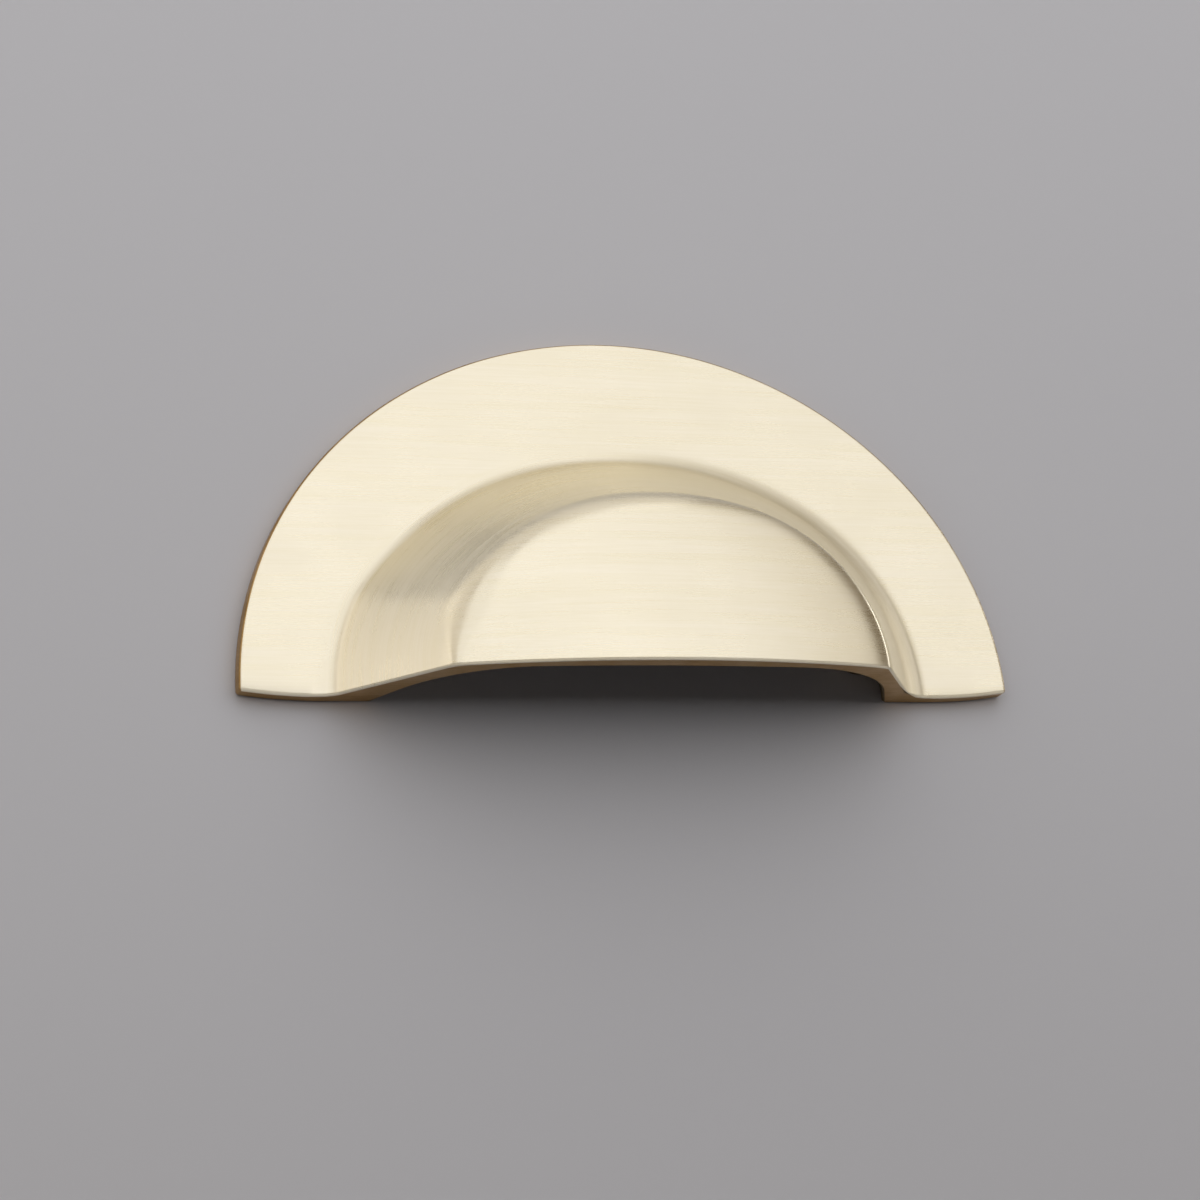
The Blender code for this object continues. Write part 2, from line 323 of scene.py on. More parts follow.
def blended_ring(sections, angles):
    """One ring from a section per side: each point is a mix of the two rings on either side of it.

    Its angle round the cup is the arc cosine of its width over the half oval's. Between two sides the
    share of the second is the smooth step of how far the angle has gone from one to the next.
    """
    grids = [ring_grid(stations, section_normal(stations)) for stations in sections]
    width_share = np.clip(grids[0][..., 0] / sections[0][:, 0], -1.0, 1.0)
    place = np.interp(np.degrees(np.arccos(width_share)), angles, np.arange(len(angles)))
    place = place - place % 1.0 + smooth_step(place % 1.0, 0.0, 1.0)
    return sum(np.clip(1 - np.abs(place - i), 0.0, 1.0)[..., None] * grid for i, grid in enumerate(grids))


skin_normal = section_normal(skin_stations)
skin_ring = blended_ring(sections, [side.angle for side in SIDES])
hollow_ring = ring_grid(hollow_stations, -section_normal(hollow_stations))
print("rings:", skin_ring.shape, hollow_ring.shape)

# %% [markdown]
# The crown patch takes its border from the innermost ring, point for point, so the two weld without a
# seam. A Coons patch blends the four border lines, and a few rounds of averaging even out its cells. The
# dome's depth and its oval then come from the same formulas as the ring's.

# %% Crown patches
SMOOTHING_ROUNDS = 400


def sail(bottom, top, right, left):
    """Coons patch: the blend of the two pairs of facing sides, less the blend of the four corners."""
    u = np.linspace(0.0, 1.0, bottom.shape[0])[None, :, None]
    v = np.linspace(0.0, 1.0, right.shape[0])[:, None, None]
    lengthwise = (1 - v) * bottom[None] + v * top[None]
    crosswise = (1 - u) * right[:, None] + u * left[:, None]
    corners = (1 - v) * ((1 - u) * bottom[0] + u * bottom[-1]) + v * ((1 - u) * top[0] + u * top[-1])
    patch = lengthwise + crosswise - corners
    for _ in range(SMOOTHING_ROUNDS):
        middle = patch[1:-1, 1:-1]
        around = patch[:-2, 1:-1] + patch[2:, 1:-1] + patch[1:-1, :-2] + patch[1:-1, 2:]
        patch[1:-1, 1:-1] = 0.5 * middle + 0.125 * around
    return patch


def with_border(grid, ring):
    """Gives the patch's four sides the very points of the innermost ring."""
    rows = len(ROW_HEIGHT)
    fan = ring[rows:-rows, 0]
    grid[:rows, 0], grid[:rows, -1] = ring[:rows, 0], ring[::-1][:rows, 0]
    grid[rows:, 0] = fan[:SIDE_STEPS]
    grid[rows:, -1] = fan[::-1][:SIDE_STEPS]
    grid[-1] = fan[SIDE_STEPS - 1 : SIDE_STEPS + TOP_STEPS]
    return grid


def crown_patch(ring, patch_radius, top, crown, inward):
    """Grid over the crown. Flat coordinates are radius times (cos, sin); depth is the dome's."""
    share = np.linspace(1.0, -1.0, TOP_STEPS + 1)[None, :]
    edge_height = crown_depth(patch_radius, top, crown)
    own = ROW_HEIGHT[:, None]
    reach = np.sqrt(patch_radius**2 - (own / cup_oval(edge_height)) ** 2)
    flat_x = reach * share
    flat_z = own / cup_oval(top) + 0 * flat_x
    for _ in range(3):
        depth = crown_depth(np.hypot(flat_x, flat_z), top, crown)
        flat_z = own / cup_oval(depth)
    inset = ROW_INSET[:, None] * inward
    strip = np.stack(
        [flat_x - inset * flat_x / crown, depth - inset * (depth - top + crown) / crown, own + 0 * flat_x],
        axis=-1,
    )
    border = np.stack([flat_x[-1], flat_z[-1]], axis=-1)
    angle = fan_angles(np.array([[patch_radius, patch_radius * cup_oval(edge_height), edge_height]]))[:, 0]
    circle = patch_radius * np.column_stack([np.cos(angle), np.sin(angle)])
    circle = np.vstack([border[:1], circle, border[-1:]])
    right = circle[: SIDE_STEPS + 1]
    over = circle[SIDE_STEPS : SIDE_STEPS + TOP_STEPS + 1]
    left = circle[::-1][: SIDE_STEPS + 1]
    flat = sail(border, over, right, left)
    deep = crown_depth(np.hypot(flat[..., 0], flat[..., 1]), top, crown)
    dome = np.stack([flat[..., 0], deep, flat[..., 1] * cup_oval(deep)], axis=-1)
    return with_border(np.concatenate([strip, dome[1:]]), ring)


skin_patch = crown_patch(skin_ring, skin_patch_radius, CUP_PROJECTION, CROWN_RADIUS, 1.0)
hollow_patch = crown_patch(hollow_ring, hollow_patch_radius, hollow_top, HOLLOW_CROWN_RADIUS, -1.0)
print("crown patches:", skin_patch.shape, hollow_patch.shape)

# %% [markdown]
# A belt held by hand leaves the metal a little wavy. The waves are a few hundredths of a millimetre deep
# and a fingertip wide, far too shallow to feel, yet they bend the bright reflections as on the real pull.
# They only ever take metal off, so the casting stays inside its CAD size.

# %% Hand finish
# Each dip: middle x, middle height over the cut, half width, half height, depth in millimetres.
DIPS = np.array(
    [
        (11.0, 14.0, 4.5, 9.0, 0.035),
        (-24.0, 15.0, 8.0, 7.0, 0.030),
        (24.0, 9.0, 5.0, 8.0, 0.025),
        (-6.0, 40.0, 12.0, 5.0, 0.030),
        (27.0, 31.0, 6.0, 5.0, 0.030),
        (-43.0, 9.0, 5.0, 7.0, 0.020),
        (45.0, 12.0, 4.0, 8.0, 0.020),
    ]
)
WAVE_DEPTH = 0.012
FOOT_ROLL = 0.12
FOOT_ROLL_HEIGHT = 1.6
# The finish fades in between these two depths in front of the back plane. Close to the cut, on the flat of
# the flange, the foot roll takes off a little more.
FINISH_FROM, FINISH_FULL = 1.0, 1.6


def metal_off(x, height):
    """Depth of metal taken off: slow waves, plus for each dip its depth times exp of minus the square.

    The square is that of the distance from the dip's middle, counted in its half width and half height.
    """
    off = WAVE_DEPTH * (1 - np.sin(0.31 * x + 0.17 * height) * np.sin(0.07 * x - 0.23 * height + 1.0))
    for middle_x, middle_z, half_x, half_z, depth in DIPS:
        away = ((x - middle_x) / half_x) ** 2 + ((height - middle_z) / half_z) ** 2
        off = off + depth * np.exp(-away)
    return off


def hand_finished(grid, normal):
    """Moves each point into the metal: section normal, turned to face away from the cup's axis."""
    x, height = grid[..., 0], grid[..., 2]
    out = np.hypot(x, height) + 1e-9
    off = metal_off(x, height)
    across, up = normal[..., 0] * x / out, normal[..., 0] * height / out
    move = np.stack([across, normal[..., 1] + 0 * x, up], axis=-1)
    return grid - move * off[..., None]


front = (skin_stations[:, 2] - FINISH_FROM) / (FINISH_FULL - FINISH_FROM)
front = np.clip(front, 0.0, 1.0)[:, None]
radius = np.hypot(skin_patch[..., 0], skin_patch[..., 2] / OVAL_AT_CROWN) / CROWN_RADIUS
dome_normal = np.stack([radius, np.sqrt(1 - radius**2)], axis=-1)
skin_ring = hand_finished(skin_ring, skin_normal * front)
skin_patch = with_border(hand_finished(skin_patch, dome_normal), skin_ring)
roll = np.clip(1 - (skin_ring[..., 2] - rise(skin_ring[..., 0])) / FOOT_ROLL_HEIGHT, 0.0, 1.0) ** 2
on_flat = np.clip((np.arange(len(skin_stations)) - flat_start) / 4.0, 0.0, 1.0)
skin_ring[..., 1] -= FOOT_ROLL * roll * on_flat * front[:, 0]
print("most metal off:", round(float(metal_off(skin_ring[..., 0], skin_ring[..., 2]).max()), 3), "mm")

# %% [markdown]
# Two flat faces close the casting. The back face lies on what the pull is screwed to, between the mouth of
# the hollow and the flange's edge. The cut face is a ribbon along the whole section. Both are ruled:
# straight lines between two chains that have the same number of points. Each point of the back faces a
# point of the skin, so no line of the ribbon crosses another.


# %% Back and cut faces
def ruled(first, second, shares):
    """Straight lines from each point of one chain to the same point of the other."""
    share = np.array(shares)[None, :, None]
    return first[:, None] * (1 - share) + second[:, None] * share


back_grid = ruled(hollow_ring[:, -1], skin_ring[:, -1], back_share)
rows = len(ROW_HEIGHT)
for end, step in ((0, 1), (-1, -1)):
    for row in range(rows):
        strip = back_grid[end + step * row]
        strip[:, 2] = rise(strip[:, 0]) + ROW_HEIGHT[row]
skin_chain = np.concatenate([skin_ring[0, ::-1], skin_patch[0, 1:-1], skin_ring[-1]])
inner_chain = np.concatenate(
    [
        back_grid[0, ::-1],
        hollow_ring[0, ::-1][1:],
        hollow_patch[0, 1:-1],
        hollow_ring[-1],
        back_grid[-1, 1:],
    ]
)
print("chains of the cut:", len(skin_chain), "and", len(inner_chain), "points")

# %% [markdown]
# The grids become one mesh. Points that two grids share are merged, which closes the seams, and each grid
# hands its faces the number of its finish: 0 satin, 1 ground, 2 as cast, darkened with painted shade.

# %% One closed casting
# The as-cast finish of the hollow and the bosses is darkened with painted shade for the inside of the cup.
SATIN, GROUND, AS_CAST_SHADED = 0, 1, 2
WELD = 0.002 * MM
CUT_SHARES = [0.0, 0.02, 0.2, 0.5, 0.8, 0.98, 1.0]


def grid_faces(first, grid):
    """Quads between neighbouring rows and columns of a grid whose first point has the number first."""
    rows, columns = grid.shape[:2]
    corner = first + np.arange(rows - 1)[:, None] * columns + np.arange(columns - 1)[None]
    return np.stack([corner, corner + 1, corner + columns + 1, corner + columns], axis=-1).reshape(-1, 4)


def closed_mesh(name, grids):
    """One mesh from (grid, finish) pairs. A grid's point (x, depth, z) goes to (x, -depth, z)."""
    points, faces, finish, first = [], [], [], 0
    for grid, number in grids:
        points.append(grid.reshape(-1, 3) * (1.0, -1.0, 1.0) + (0.0, 0.0, HEIGHT_OF_CUT))
        faces.append(grid_faces(first, grid))
        finish.append(np.full(len(faces[-1]), number, dtype=np.int32))
        first += len(points[-1])
    mesh = bpy.data.meshes.new(name)
    mesh.from_pydata(np.concatenate(points) * MM, [], np.concatenate(faces).tolist())
    mesh.polygons.foreach_set("material_index", np.concatenate(finish))
    work = bmesh.new()
    work.from_mesh(mesh)
    bmesh.ops.remove_doubles(work, verts=work.verts, dist=WELD)
    bmesh.ops.dissolve_degenerate(work, edges=work.edges, dist=WELD / 4)
    bmesh.ops.recalc_face_normals(work, faces=work.faces)
    open_edges = sum(len(edge.link_faces) != 2 for edge in work.edges)
    print(name, len(work.faces), "faces,", open_edges, "open edges, volume mm3", work.calc_volume() / MM**3)
    work.to_mesh(mesh)
    work.free()
    return mesh


def show(name, mesh):
    piece = bpy.data.objects.new(name, mesh)
    scene.collection.objects.link(piece)
    return piece


cut_grid = ruled(skin_chain, inner_chain, CUT_SHARES)
casting = show(
    "pull_casting",
    closed_mesh(
        "pull_casting",
        [
            (skin_ring[:, : edge_start + 1], SATIN),
            (skin_ring[:, edge_start:], GROUND),
            (skin_patch, SATIN),
            (back_grid, GROUND),
            (cut_grid, GROUND),
            (hollow_ring, AS_CAST_SHADED),
            (hollow_patch, AS_CAST_SHADED),
        ],
    ),
)

# %% [markdown]
# Two bosses inside the cup take M4 screws from behind. Each is a post from the back plane into the metal
# of the cup's wall, and a drill with a pointed tip then makes its blind hole. A Boolean modifier is the
# tool here, because the post meets the curved wall along a line that no single formula gives.

# %% Bosses and holes
BOSS_X, BOSS_Z = 32.0, 8.0
BOSS_RADIUS = 4.3
BOSS_DRAFT = np.radians(1.5)
TAPPING_RADIUS = 1.65
TAPPING_DEPTH = 5.1
DRILL_TIP = 1.0


def middle_of_wall(x, height):
    """Depth half-way between hollow and skin: each is read from its section at the oval's radius."""
    radius = np.hypot(x, height / MIDDLE_OVAL)
    skin_depth = np.interp(radius, skin_stations[:flat_start, 0], skin_stations[:flat_start, 2])
    return 0.5 * (skin_depth + np.interp(radius, hollow_stations[:, 0], hollow_stations[:, 2]))


def turned_post(radii, depths, steps=72):
    """Rings about the post's own axis, from (radius, depth) pairs: point = radius * (cos, sin), depth."""
    angle = np.linspace(0.0, 2 * np.pi, steps + 1)
    x = BOSS_X + np.outer(radii, np.cos(angle))
    height = BOSS_Z + np.outer(radii, np.sin(angle))
    return np.stack([x, np.repeat(np.array(depths, float)[:, None], steps + 1, axis=1), height], axis=-1)


grow = np.tan(BOSS_DRAFT)
shares = np.linspace(0.0, 1.0, 9)
base = turned_post([0.0, BOSS_RADIUS], [0.0, 0.0])
shank = turned_post(np.full(9, BOSS_RADIUS), np.zeros(9))
top = middle_of_wall(shank[..., 0], shank[..., 2])
shank[..., 1] = shares[:, None] * top
swell = 1 + shank[..., 1] * grow / BOSS_RADIUS
shank[..., 0] = BOSS_X + (shank[..., 0] - BOSS_X) * swell
shank[..., 2] = BOSS_Z + (shank[..., 2] - BOSS_Z) * swell
inward = np.linspace(1.0, 0.0, 6)[:, None]
cap = np.repeat(shank[-1:], 6, axis=0)
cap[..., 0] = BOSS_X + (cap[..., 0] - BOSS_X) * inward
cap[..., 2] = BOSS_Z + (cap[..., 2] - BOSS_Z) * inward
cap[1:, :, 1] = middle_of_wall(cap[1:, :, 0], cap[1:, :, 2])
drill = turned_post(
    [0.0, TAPPING_RADIUS, TAPPING_RADIUS, 0.0], [-1.0, -1.0, TAPPING_DEPTH, TAPPING_DEPTH + DRILL_TIP]
)
mirrored = np.array([-1.0, 1.0, 1.0])
posts = [(grid * side, AS_CAST_SHADED) for side in (1.0, mirrored) for grid in (shank, cap)]
posts += [(base * side, GROUND) for side in (1.0, mirrored)]
holes = [(drill * side, GROUND) for side in (1.0, mirrored)]


def combine(piece, tool, operation):
    """Applies one exact Boolean and drops the tool."""
    step = piece.modifiers.new(operation, "BOOLEAN")
    step.operation, step.object, step.solver = operation, tool, "EXACT"
    bpy.context.view_layer.update()
    graph = bpy.context.evaluated_depsgraph_get()
    made = bpy.data.meshes.new_from_object(piece.evaluated_get(graph))
    piece.modifiers.clear()
    piece.data = made
    bpy.data.objects.remove(tool, do_unlink=True)


combine(casting, show("posts", closed_mesh("posts", posts)), "UNION")
combine(casting, show("drills", closed_mesh("drills", holes)), "DIFFERENCE")
print("casting:", len(casting.data.vertices), "points,", len(casting.data.polygons), "faces")

# %% [markdown]
# The finish follows the form. On the flange and the crown the belt ran level, on the leaning wall it ran
# round the arc. So each point gets the direction square to its brush lines, its place along and across the
# arc in metres, and how far it belongs to the wall. All of it follows from the point's own place.

# %% Brush directions
# Depths between which the arc brushing begins at the foot of the wall and ends at its shoulder.
WALL_LOW, WALL_HIGH = (2.21, 2.45), (13.5, 15.7)
ARC_RADIUS = 33.0
SHARP_ANGLE = np.radians(34.0)


def brush_attributes(mesh):
    """Writes the point attributes: brush_across (a direction) and arc_place (along, across, wall share)."""
    count = len(mesh.vertices)
    place, normal = np.empty(count * 3), np.empty(count * 3)
    mesh.vertices.foreach_get("co", place)
    mesh.vertices.foreach_get("normal", normal)
    place, normal = place.reshape(-1, 3) / MM, normal.reshape(-1, 3)
    x, depth, height = place[:, 0], -place[:, 1], place[:, 2] - HEIGHT_OF_CUT
    oval = cup_oval(depth)
    angle = np.arctan2(height / oval, x)
    radius = np.hypot(x, height / oval)
    on_wall = smooth_step(depth, *WALL_LOW) * (1 - smooth_step(depth, *WALL_HIGH))
    along = np.column_stack([-np.sin(angle), 0 * angle, oval * np.cos(angle)])
    square = np.cross(normal, along)
    square /= np.linalg.norm(square, axis=1)[:, None] + 1e-9
    square *= np.sign(square[:, 0] * x + square[:, 2] * height)[:, None]
    across = square * on_wall[:, None] + np.array([0.0, 0.0, 1.0]) * (1 - on_wall[:, None])
    across /= np.linalg.norm(across, axis=1)[:, None] + 1e-9
    arc_place = np.column_stack([angle * ARC_RADIUS * MM, (radius * MIDDLE_OVAL - depth) * MM, on_wall])
    for name, values in (("brush_across", across), ("arc_place", arc_place)):
        layer = mesh.attributes.new(name, "FLOAT_VECTOR", "POINT")
        layer.data.foreach_set("vector", values.astype(np.float32).ravel())
    print("on the wall:", int((on_wall > 0.5).sum()), "of", count, "points")


brush_attributes(casting.data)
casting.data.shade_smooth()
casting.data.set_sharp_from_angle(angle=SHARP_ANGLE)

# %% [markdown]
# A colour is written as the hex value that a paint chart would give, and turned to linear light for the
# shader. One small function adds a node: its type, its settings by name, and its inputs, each of which is
# either a plain value or another node's output.


# %% Helpers for materials
def colour(hex_value):
    """sRGB hex to linear: value / 12.92 when dark, else ((value + 0.055) / 1.055) to the power 2.4."""
    value = np.array([int(hex_value[i : i + 2], 16) for i in (1, 3, 5)]) / 255.0
    linear = np.where(value <= 0.04045, value / 12.92, ((value + 0.055) / 1.055) ** 2.4)
    return (*linear.tolist(), 1.0)


def add(tree, kind, settings=(), **inputs):
    """Adds a node. An input's name has underscores for spaces, and a number for an input without a name."""
    node = tree.nodes.new("ShaderNode" + kind)
    for name, value in dict(settings).items():
        setattr(node, name, value)
    for name, value in inputs.items():
        socket = node.inputs[int(name[1:])] if name[1:].isdigit() else node.inputs[name.replace("_", " ")]
        if isinstance(value, bpy.types.NodeSocket):
            tree.links.new(value, socket)
        else:
            socket.default_value = value
    return node


def new_material(name):
    """An empty node material and its output node."""
    material = bpy.data.materials.new(name)
    material.use_nodes = True
    material.node_tree.nodes.clear()
    return material, material.node_tree


def noise(tree, where, size, detail=3.0, roughness=0.6):
    """Noise whose lumps measure size (x, y, z) in millimetres, read at a vector."""
    stretch = add(tree, "Mapping", Vector=where, Scale=[1 / (part * MM) for part in size])
    return add(
        tree, "TexNoise", Vector=stretch.outputs[0], Scale=1.0, Detail=detail, Roughness=roughness
    ).outputs[0]


def remap(tree, value, low, high, to_low, to_high):
    """Straight-line change of a value's range, clamped."""
    return add(tree, "MapRange", _0=value, _1=low, _2=high, _3=to_low, _4=to_high).outputs[0]


def blend_by(tree, share, first, second):
    """Number between first and second, by share."""
    return add(tree, "Mix", {"data_type": "FLOAT"}, _0=share, _2=first, _3=second).outputs[0]


# %% [markdown]
# Satin brass: cast brass, linished with belts of about 240 grit and left without lacquer, so it is paler
# and less yellow than polished brass. The belt's lines are about 0.05 mm apart, too fine to show at this
# distance, so they are drawn 0.15 mm apart. They blur reflections square to the brushing, which the
# anisotropy gives, and a touch of bump and roughness makes them just visible. The arc was brushed more
# coarsely on the right-hand part of the wall, where reflections are softer.

# %% Satin brass
BRUSH_ANISOTROPY = 0.65
SATIN_ROUGHNESS = (0.24, 0.32)
COARSE_FROM, COARSE_TO, COARSE_ROUGHNESS = -5 * MM, 15 * MM, 0.16
LINE_DEPTH = 0.0008 * MM


def satin_brass():
    material, tree = new_material("satin_brass_linished")
    place = add(tree, "TexCoord").outputs["Object"]
    arc_place = add(tree, "Attribute", {"attribute_name": "arc_place"}).outputs["Vector"]
    on_wall = add(tree, "SeparateXYZ", Vector=arc_place).outputs["Z"]
    across = add(tree, "Attribute", {"attribute_name": "brush_across"}).outputs["Vector"]
    level_lines = noise(tree, place, (9.0, 0.5, 0.15))
    arc_lines = noise(tree, arc_place, (7.0, 0.15, 4000.0))
    lines = blend_by(tree, on_wall, level_lines, arc_lines)
    level_streaks = noise(tree, place, (30.0, 4.0, 0.9), detail=2.0)
    arc_streaks = noise(tree, arc_place, (22.0, 0.9, 4000.0), detail=2.0)
    streaks = blend_by(tree, on_wall, level_streaks, arc_streaks)
    patches = noise(tree, place, (9.0, 9.0, 7.0), detail=2.0, roughness=0.5)
    tone = add(tree, "Math", {"operation": "MULTIPLY_ADD"}, _0=lines, _1=0.45, _2=0.0).outputs[0]
    tone = add(tree, "Math", {"operation": "MULTIPLY_ADD"}, _0=streaks, _1=0.55, _2=tone).outputs[0]
    tint = remap(tree, tone, 0.35, 0.65, 0.0, 1.0)
    base = add(
        tree, "Mix", {"data_type": "RGBA"}, _0=tint, _6=colour("#E9E0C6"), _7=colour("#F0E8D3")
    ).outputs[2]
    rough = remap(tree, tone, 0.3, 0.7, *SATIN_ROUGHNESS)
    to_the_right = add(tree, "SeparateXYZ", Vector=place).outputs["X"]
    coarse = remap(tree, to_the_right, COARSE_FROM, COARSE_TO, 0.0, COARSE_ROUGHNESS)
    rough = add(tree, "Math", {"operation": "MULTIPLY_ADD"}, _0=coarse, _1=on_wall, _2=rough).outputs[0]
    patchy = remap(tree, patches, 0.3, 0.7, -0.02, 0.03)
    rough = add(tree, "Math", {"operation": "ADD"}, _0=rough, _1=patchy).outputs[0]
    bump = add(tree, "Bump", Strength=1.0, Distance=LINE_DEPTH, Height=lines).outputs[0]
    shader = add(
        tree,
        "BsdfPrincipled",
        Base_Color=base,
        Metallic=1.0,
        Roughness=rough,
        Anisotropic=BRUSH_ANISOTROPY,
        Tangent=across,
        Normal=bump,
    )
    add(tree, "OutputMaterial", Surface=shader.outputs[0])
    return material


# %% [markdown]
# Two plainer finishes. The back, the rim and the bottom cut are ground on a coarse wheel and have dulled
# to a browner brass. The hollow is left as it came out of the sand: grainy and rough, about as fine as 80
# grit. Its dark brown is partly the cast metal's own and partly painted shade, which keeps the inside of
# the cup dark.


# %% Ground and cast brass
def plain_brass(name, dark, light, size, roughness, depth):
    """Brass with one noise for its colour, its roughness and its bump."""
    material, tree = new_material(name)
    place = add(tree, "TexCoord").outputs["Object"]
    grain = noise(tree, place, size, detail=5.0, roughness=0.65)
    cloud = noise(tree, place, (6.0, 6.0, 6.0), detail=2.0)
    both = add(tree, "Math", {"operation": "ADD"}, _0=grain, _1=cloud).outputs[0]
    tint = remap(tree, both, 0.8, 1.2, 0.0, 1.0)
    base = add(tree, "Mix", {"data_type": "RGBA"}, _0=tint, _6=colour(dark), _7=colour(light)).outputs[2]
    rough = remap(tree, both, 0.8, 1.2, roughness + 0.06, roughness - 0.06)
    bump = add(tree, "Bump", Strength=1.0, Distance=depth * MM, Height=grain).outputs[0]
    shader = add(tree, "BsdfPrincipled", Base_Color=base, Metallic=1.0, Roughness=rough, Normal=bump)
    add(tree, "OutputMaterial", Surface=shader.outputs[0])
    return material


finish_of = np.empty(len(casting.data.polygons), dtype=np.int32)
casting.data.polygons.foreach_get("material_index", finish_of)
casting.data.materials.clear()
for finish in (
    satin_brass(),
    plain_brass("ground_brass", "#A5834F", "#BE9C6A", (3.0, 0.25, 0.25), 0.42, 0.006),
    # The hollow's dark brown: partly the cast metal's own, partly painted shade for the inside of the cup.
    plain_brass("sand_cast_brass_painted_shade", "#54462F", "#6A5A3E", (0.5, 0.5, 0.5), 0.58, 0.05),
):
    casting.data.materials.append(finish)
casting.data.polygons.foreach_set("material_index", finish_of)
print("faces of each finish:", np.bincount(finish_of))

# %% [markdown]
# The pull is looked at where it works: flat against a plain pale board, with a plain pale floor below. The
# board is one-sided, so a view from behind looks through it at the pull's back, as if it hung on glass.


# %% Board and floor
def flat_sheet(name, corners):
    mesh = bpy.data.meshes.new(name)
    mesh.from_pydata(corners, [], [(0, 1, 2, 3)])
    return show(name, mesh)


def painted(name, shown, bounced, one_sided):
    """Matt paint: one colour to the eye and in reflections, a deeper one for the light it throws back."""
    material, tree = new_material(name)
    ray = add(tree, "LightPath").outputs
    seen = add(tree, "Math", {"operation": "MAXIMUM"}, _0=ray["Is Camera Ray"], _1=ray["Is Glossy Ray"])
    seen = add(tree, "Math", {"operation": "MAXIMUM"}, _0=seen.outputs[0], _1=ray["Is Transmission Ray"])
    place = add(tree, "TexCoord").outputs["Object"]
    roller = noise(tree, place, (1.1, 1.1, 1.1), detail=2.0)
    paint = add(
        tree, "Mix", {"data_type": "RGBA"}, _0=seen.outputs[0], _6=colour(bounced), _7=colour(shown)
    ).outputs[2]
    bump = add(tree, "Bump", Strength=0.3, Distance=0.02 * MM, Height=roller).outputs[0]
    surface = add(tree, "BsdfPrincipled", Base_Color=paint, Roughness=0.7, Normal=bump).outputs[0]
    if one_sided:
        behind = add(tree, "NewGeometry").outputs["Backfacing"]
        passed = add(tree, "Math", {"operation": "GREATER_THAN"}, _0=ray["Transparent Depth"], _1=0.5)
        clear = add(tree, "Math", {"operation": "MAXIMUM"}, _0=behind, _1=passed.outputs[0]).outputs[0]
        glass = add(tree, "BsdfTransparent").outputs[0]
        surface = add(tree, "MixShader", _0=clear, _1=surface, _2=glass).outputs[0]
    add(tree, "OutputMaterial", Surface=surface)
    return material


BOARD_Y = 0.0003
FLOOR_Z = -0.24
BOARD_HALF, BOARD_TOP = 0.20, 0.17
board = flat_sheet(
    "board",
    [
        (-BOARD_HALF, BOARD_Y, FLOOR_Z),
        (BOARD_HALF, BOARD_Y, FLOOR_Z),
        (BOARD_HALF, BOARD_Y, BOARD_TOP),
        (-BOARD_HALF, BOARD_Y, BOARD_TOP),
    ],
)
floor = flat_sheet("floor", [(-6, -6, FLOOR_Z), (6, -6, FLOOR_Z), (6, 6, FLOOR_Z), (-6, 6, FLOOR_Z)])
board.data.materials.append(painted("pale_board", "#D6D6DA", "#8C8C90", True))
floor.data.materials.append(painted("pale_floor", "#E6E6E8", "#4A4A4E", False))

# %% [markdown]
# Metal shows its surroundings, so the light is a set of soft boxes, as in a product studio. The flange and
# the crown face the front ones, which stand side by side and above each other. The leaning wall shows the
# weaker ones at the left and those overhead. Between the box at the right of the front and the one at the
# far right there is a gap, and it draws the dark crescent down the cup's right shoulder. The boxes barely
# overlap, because the brightness adds up where two of them do, and that would show as a streak.


# %% Light
def soft_box(name, size, radiance, tint, stand):
    """A rectangle of light, as bright as its radiance: its power is radiance times pi times its area."""
    light = bpy.data.lights.new(name, "AREA")
    light.shape, light.size, light.size_y = "RECTANGLE", *size
    light.energy = radiance * np.pi * size[0] * size[1]
    light.color = colour(tint)[:3]
    lamp = bpy.data.objects.new(name, light)
    lamp.matrix_world = stand
    lamp.visible_camera = False
    scene.collection.objects.link(lamp)


def standing_box(name, azimuth, span, low, high, radiance, tint):
    """An upright soft box that faces the pull from the lamp distance.

    It fills span degrees around azimuth, where 0 is straight in front and 90 to the right, and the
    elevations from low to high.
    """
    azimuth, span, low, high = np.radians([azimuth, span, low, high])
    back = np.array([np.sin(azimuth), -np.cos(azimuth), 0.0])
    right = np.array([np.cos(azimuth), np.sin(azimuth), 0.0])
    size = (2 * LAMP_DISTANCE * np.tan(span / 2), LAMP_DISTANCE * (np.tan(high) - np.tan(low)))
    stand = Matrix(np.column_stack([right, (0.0, 0.0, 1.0), back]).tolist()).to_4x4()
    middle = PULL_MIDDLE + 0.5 * LAMP_DISTANCE * (np.tan(high) + np.tan(low))
    stand.translation = back * LAMP_DISTANCE + np.array([0.0, 0.0, middle])
    soft_box(name, size, radiance, tint, stand)


LAMP_DISTANCE, PULL_MIDDLE = 0.60, -0.02
OVERHEAD_HEIGHT = 1.10
COOL, WARM, WHITE = "#F6F9FF", "#FFFCF8", "#FFFFFF"
# Each standing box: name, azimuth, span, lowest and highest elevation, radiance, tint.
STANDING_BOXES = (
    ("front_left_box", -27.0, 30.0, -4.0, 57.0, 0.92, COOL),
    ("front_box", 4.0, 32.0, 14.0, 62.0, 1.01, COOL),
    ("front_right_box", 30.0, 20.0, 14.0, 62.0, 0.94, COOL),
    ("front_low_box", 14.0, 52.0, -4.0, 14.0, 1.14, COOL),
    ("right_box", 48.0, 16.0, -4.0, 62.0, 0.70, WHITE),
    ("right_side_box", 88.0, 12.0, -4.0, 30.0, 2.3, WHITE),
    ("right_high_box", 82.0, 52.0, 38.0, 62.0, 0.22, WHITE),
    ("left_box", -52.0, 20.0, -4.0, 47.0, 0.56, WARM),
    ("left_side_box", -79.0, 30.0, -4.0, 51.0, 0.89, WARM),
    ("back_box", 150.0, 50.0, 0.0, 60.0, 1.0, WHITE),
)
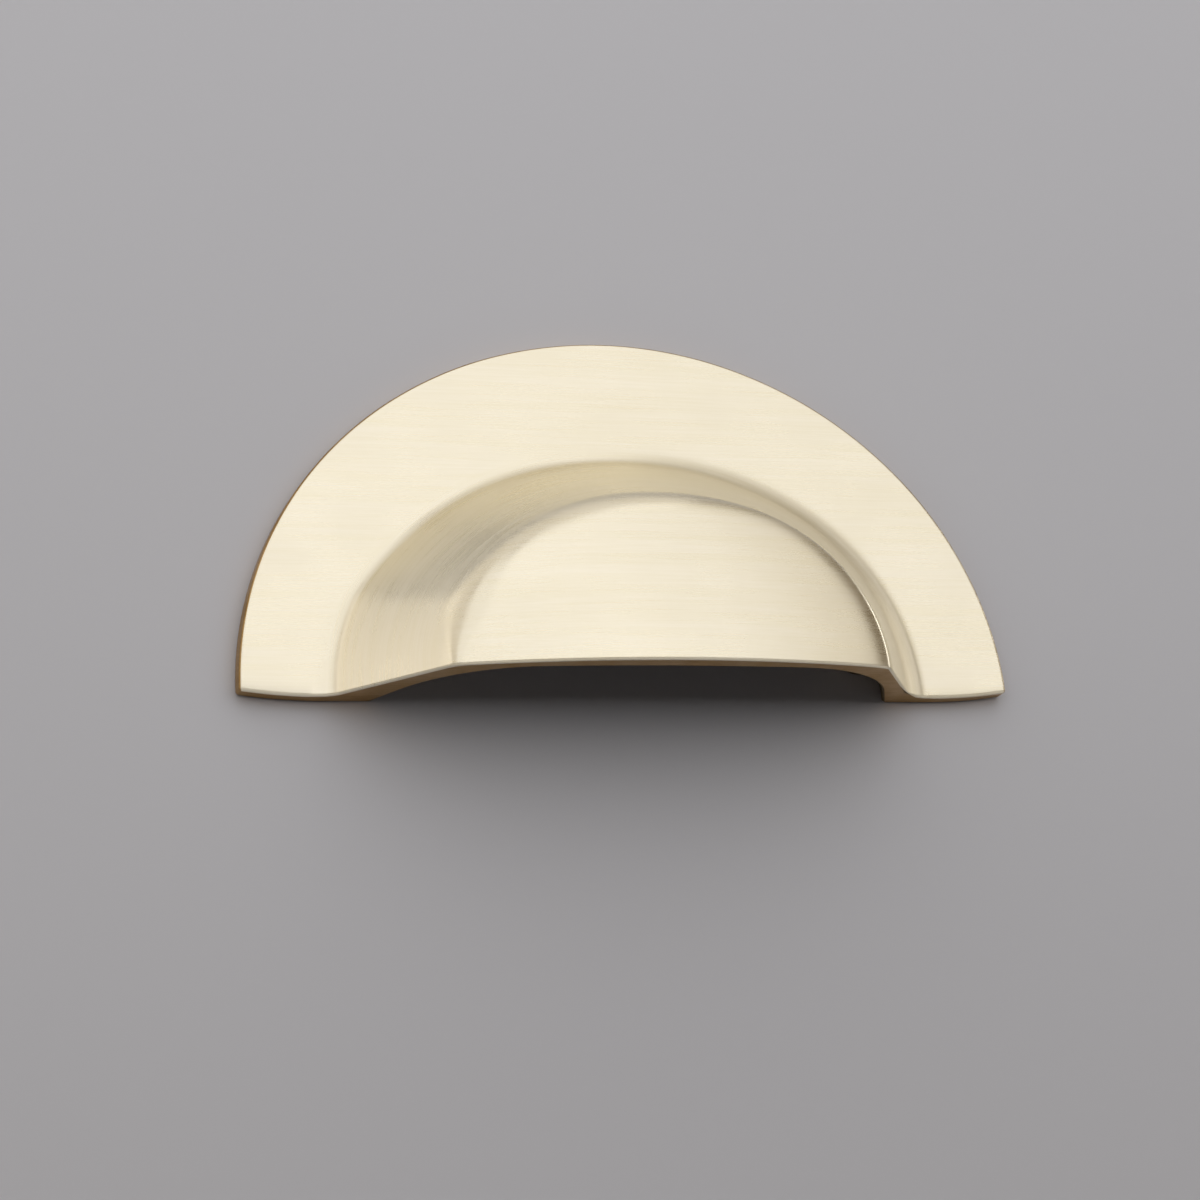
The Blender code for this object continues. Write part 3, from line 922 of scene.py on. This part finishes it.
# Each overhead box: name, middle (x, y), size, radiance.
OVERHEAD_BOXES = (
    ("top_box", (-0.20, 0.15), (1.4, 1.5), 0.57),
    ("top_left_box", (-0.50, -0.20), (0.8, 0.8), 0.24),
)
for name, middle, size, radiance in OVERHEAD_BOXES:
    soft_box(name, size, radiance, WHITE, Matrix.Translation((*middle, OVERHEAD_HEIGHT)))
for row in STANDING_BOXES:
    standing_box(*row)

# A faint warm room fills what the boxes leave dark.
ROOM_COLOUR, ROOM_STRENGTH = "#FFE8C8", 0.20
world = bpy.data.worlds.new("studio")
scene.world = world
world.use_nodes = True
room = world.node_tree.nodes["Background"].inputs
room["Color"].default_value = colour(ROOM_COLOUR)
room["Strength"].default_value = ROOM_STRENGTH

# %% [markdown]
# The camera stands low and to the left and looks up at the pull through a long lens, slightly tilted, as
# for the photograph.

# %% Camera
CAMERA_PLACE = (-0.1469, -0.3808, -0.1432)
CAMERA_YAW, CAMERA_PITCH, CAMERA_ROLL = np.radians([20.66, 16.264, -5.282])
LENS, SENSOR_WIDTH, CLIP_START = 99.0, 36.0, 0.01


def camera_axes(yaw, pitch, roll):
    """Columns right, up and back: forward from yaw and pitch, then right and up turned by the roll."""
    forward = np.array([np.sin(yaw) * np.cos(pitch), np.cos(yaw) * np.cos(pitch), np.sin(pitch)])
    level = np.array([np.cos(yaw), -np.sin(yaw), 0.0])
    up = np.cross(level, forward)
    right = np.cos(roll) * level + np.sin(roll) * up
    return np.column_stack([right, -np.sin(roll) * level + np.cos(roll) * up, -forward])


eye = bpy.data.objects.new("camera", bpy.data.cameras.new("camera"))
scene.collection.objects.link(eye)
eye.data.lens = LENS
eye.data.sensor_width = SENSOR_WIDTH
eye.data.clip_start = CLIP_START
stand = Matrix(camera_axes(CAMERA_YAW, CAMERA_PITCH, CAMERA_ROLL).tolist()).to_4x4()
stand.translation = CAMERA_PLACE
eye.matrix_world = stand
scene.camera = eye
print("camera looks along", [round(value, 3) for value in (-stand.col[2]).to_3d()])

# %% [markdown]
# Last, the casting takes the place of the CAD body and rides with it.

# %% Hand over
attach(casting, "root")
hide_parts("pull_body")
